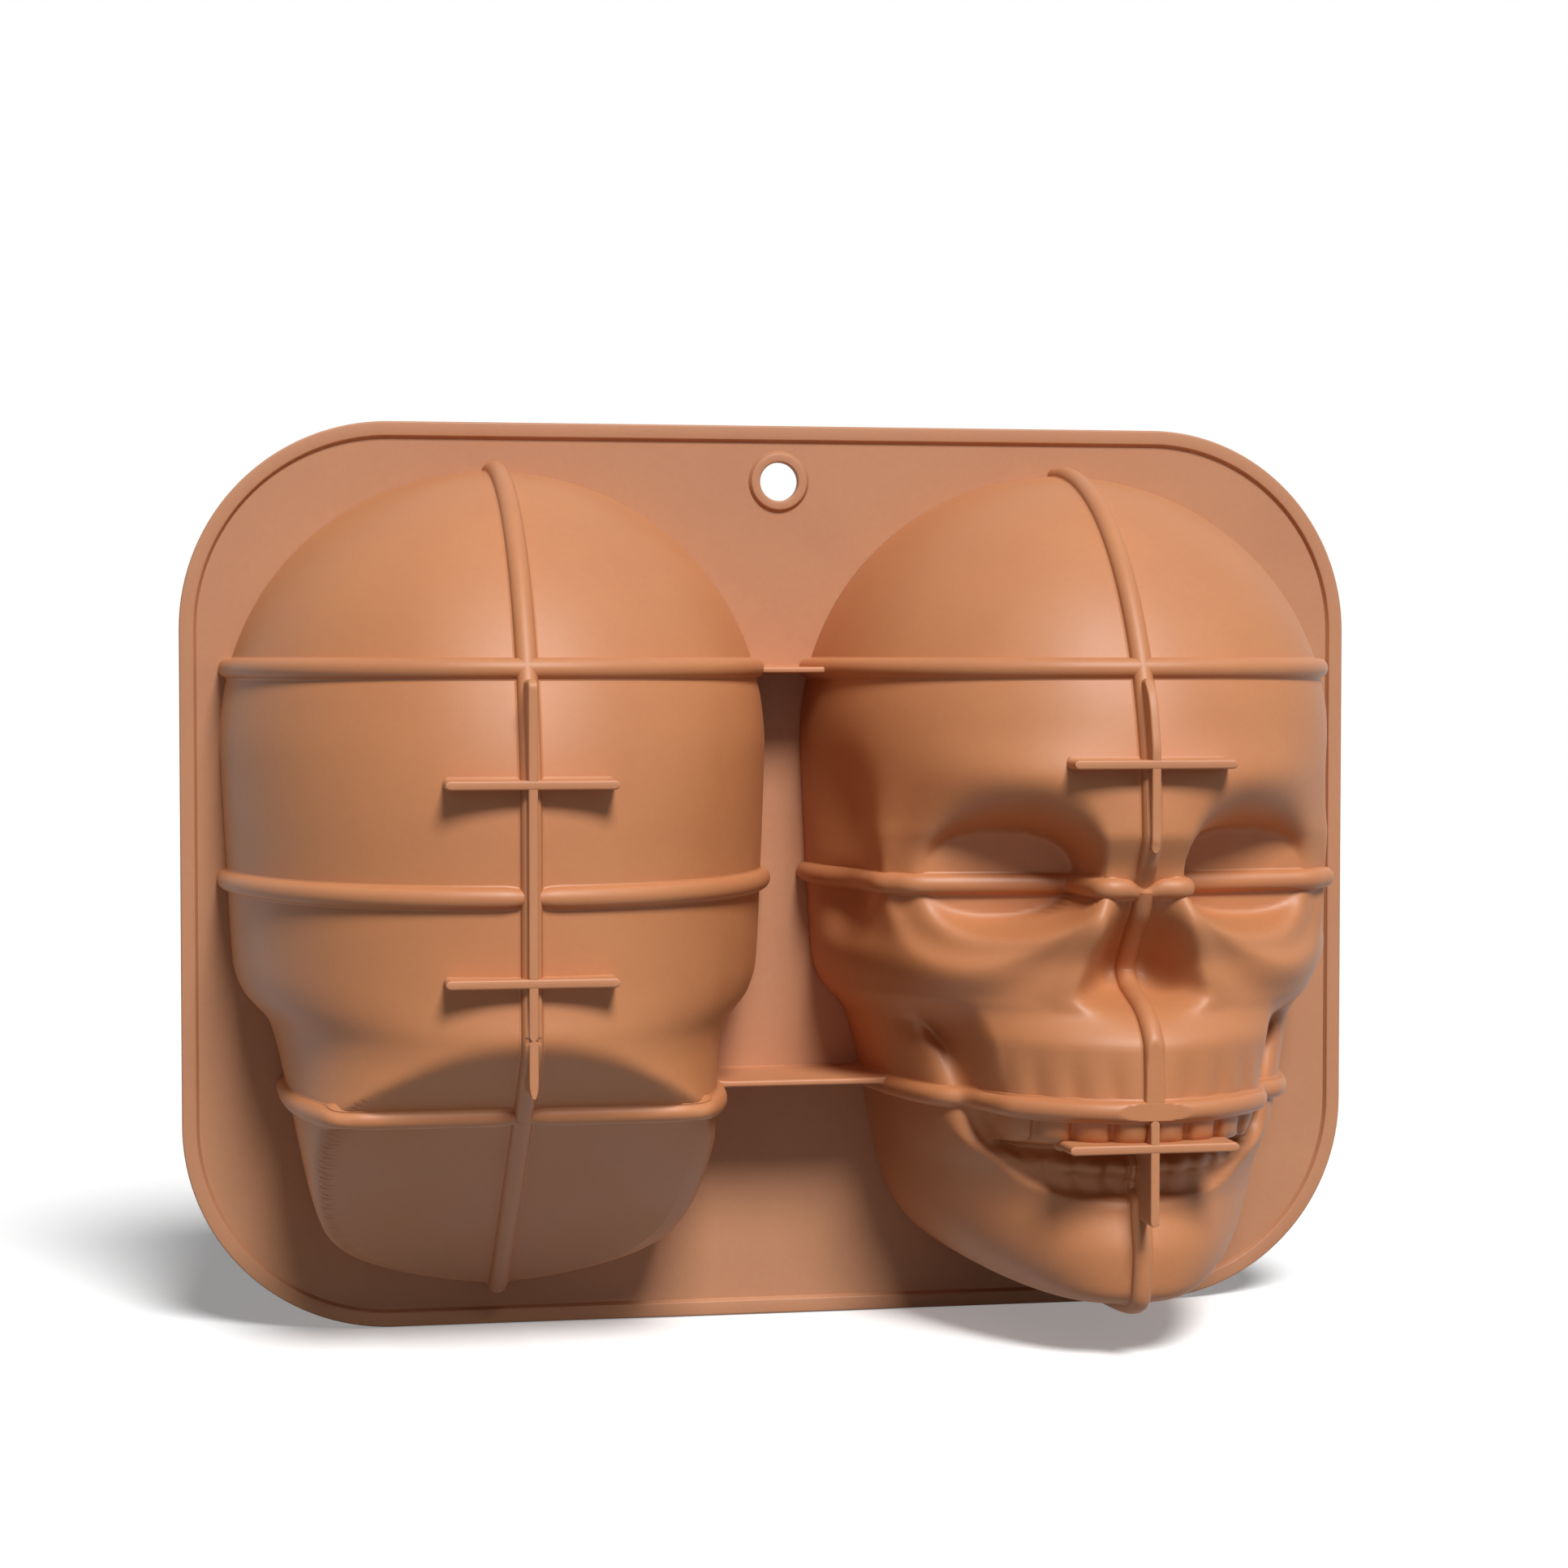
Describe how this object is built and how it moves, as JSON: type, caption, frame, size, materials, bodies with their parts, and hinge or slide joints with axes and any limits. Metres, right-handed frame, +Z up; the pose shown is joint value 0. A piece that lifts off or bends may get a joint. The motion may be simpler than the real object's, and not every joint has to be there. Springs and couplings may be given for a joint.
{
  "type": "silicone cake mould",
  "caption": "Soft silicone baking mould: two side-by-side cavities, the back and the face of a skull, under one flat flange with a hanging hole, standing on thin foot webs.",
  "frame": {"origin": "centre of the flange's outline, on the plane that the foot webs stand on", "axes": "+Z up out of the open cavities, +X towards the back half of the skull, +Y towards the crowns and the hanging hole"},
  "size_m": [0.29, 0.2184, 0.088],
  "materials": {
    "flange_silicone": "matte",
    "shell_silicone": "matte",
    "rib_silicone": "matte",
    "web_silicone": "matte"
  },
  "bodies": {
    "root": {"flange_sheet": "flange_silicone", "rim_bead": "flange_silicone", "hang_eye_boss": "flange_silicone", "back_shell": "shell_silicone", "face_shell": "shell_silicone", "back_upper_band": "rib_silicone", "back_middle_band": "rib_silicone", "back_nape_band": "rib_silicone", "back_crown_rib": "rib_silicone", "back_upper_rib": "rib_silicone", "back_lower_rib": "rib_silicone", "back_nape_rib": "rib_silicone", "face_forehead_band": "rib_silicone", "face_eye_band": "rib_silicone", "face_jaw_band": "rib_silicone", "face_crown_rib": "rib_silicone", "face_forehead_rib": "rib_silicone", "face_nose_rib": "rib_silicone", "face_chin_rib": "rib_silicone", "back_foot_web_upper": "web_silicone", "back_foot_web_middle": "web_silicone", "back_foot_web_lower": "web_silicone", "back_foot_web_tail": "web_silicone", "forehead_foot_web_upper": "web_silicone", "forehead_foot_web_lower": "web_silicone", "mouth_foot_web_upper": "web_silicone", "mouth_foot_web_lower": "web_silicone", "back_upper_foot_bar": "web_silicone", "back_lower_foot_bar": "web_silicone", "forehead_foot_bar": "web_silicone", "mouth_foot_bar": "web_silicone", "upper_tie_web": "web_silicone", "lower_tie_web": "web_silicone"}
  },
  "joints": []
}
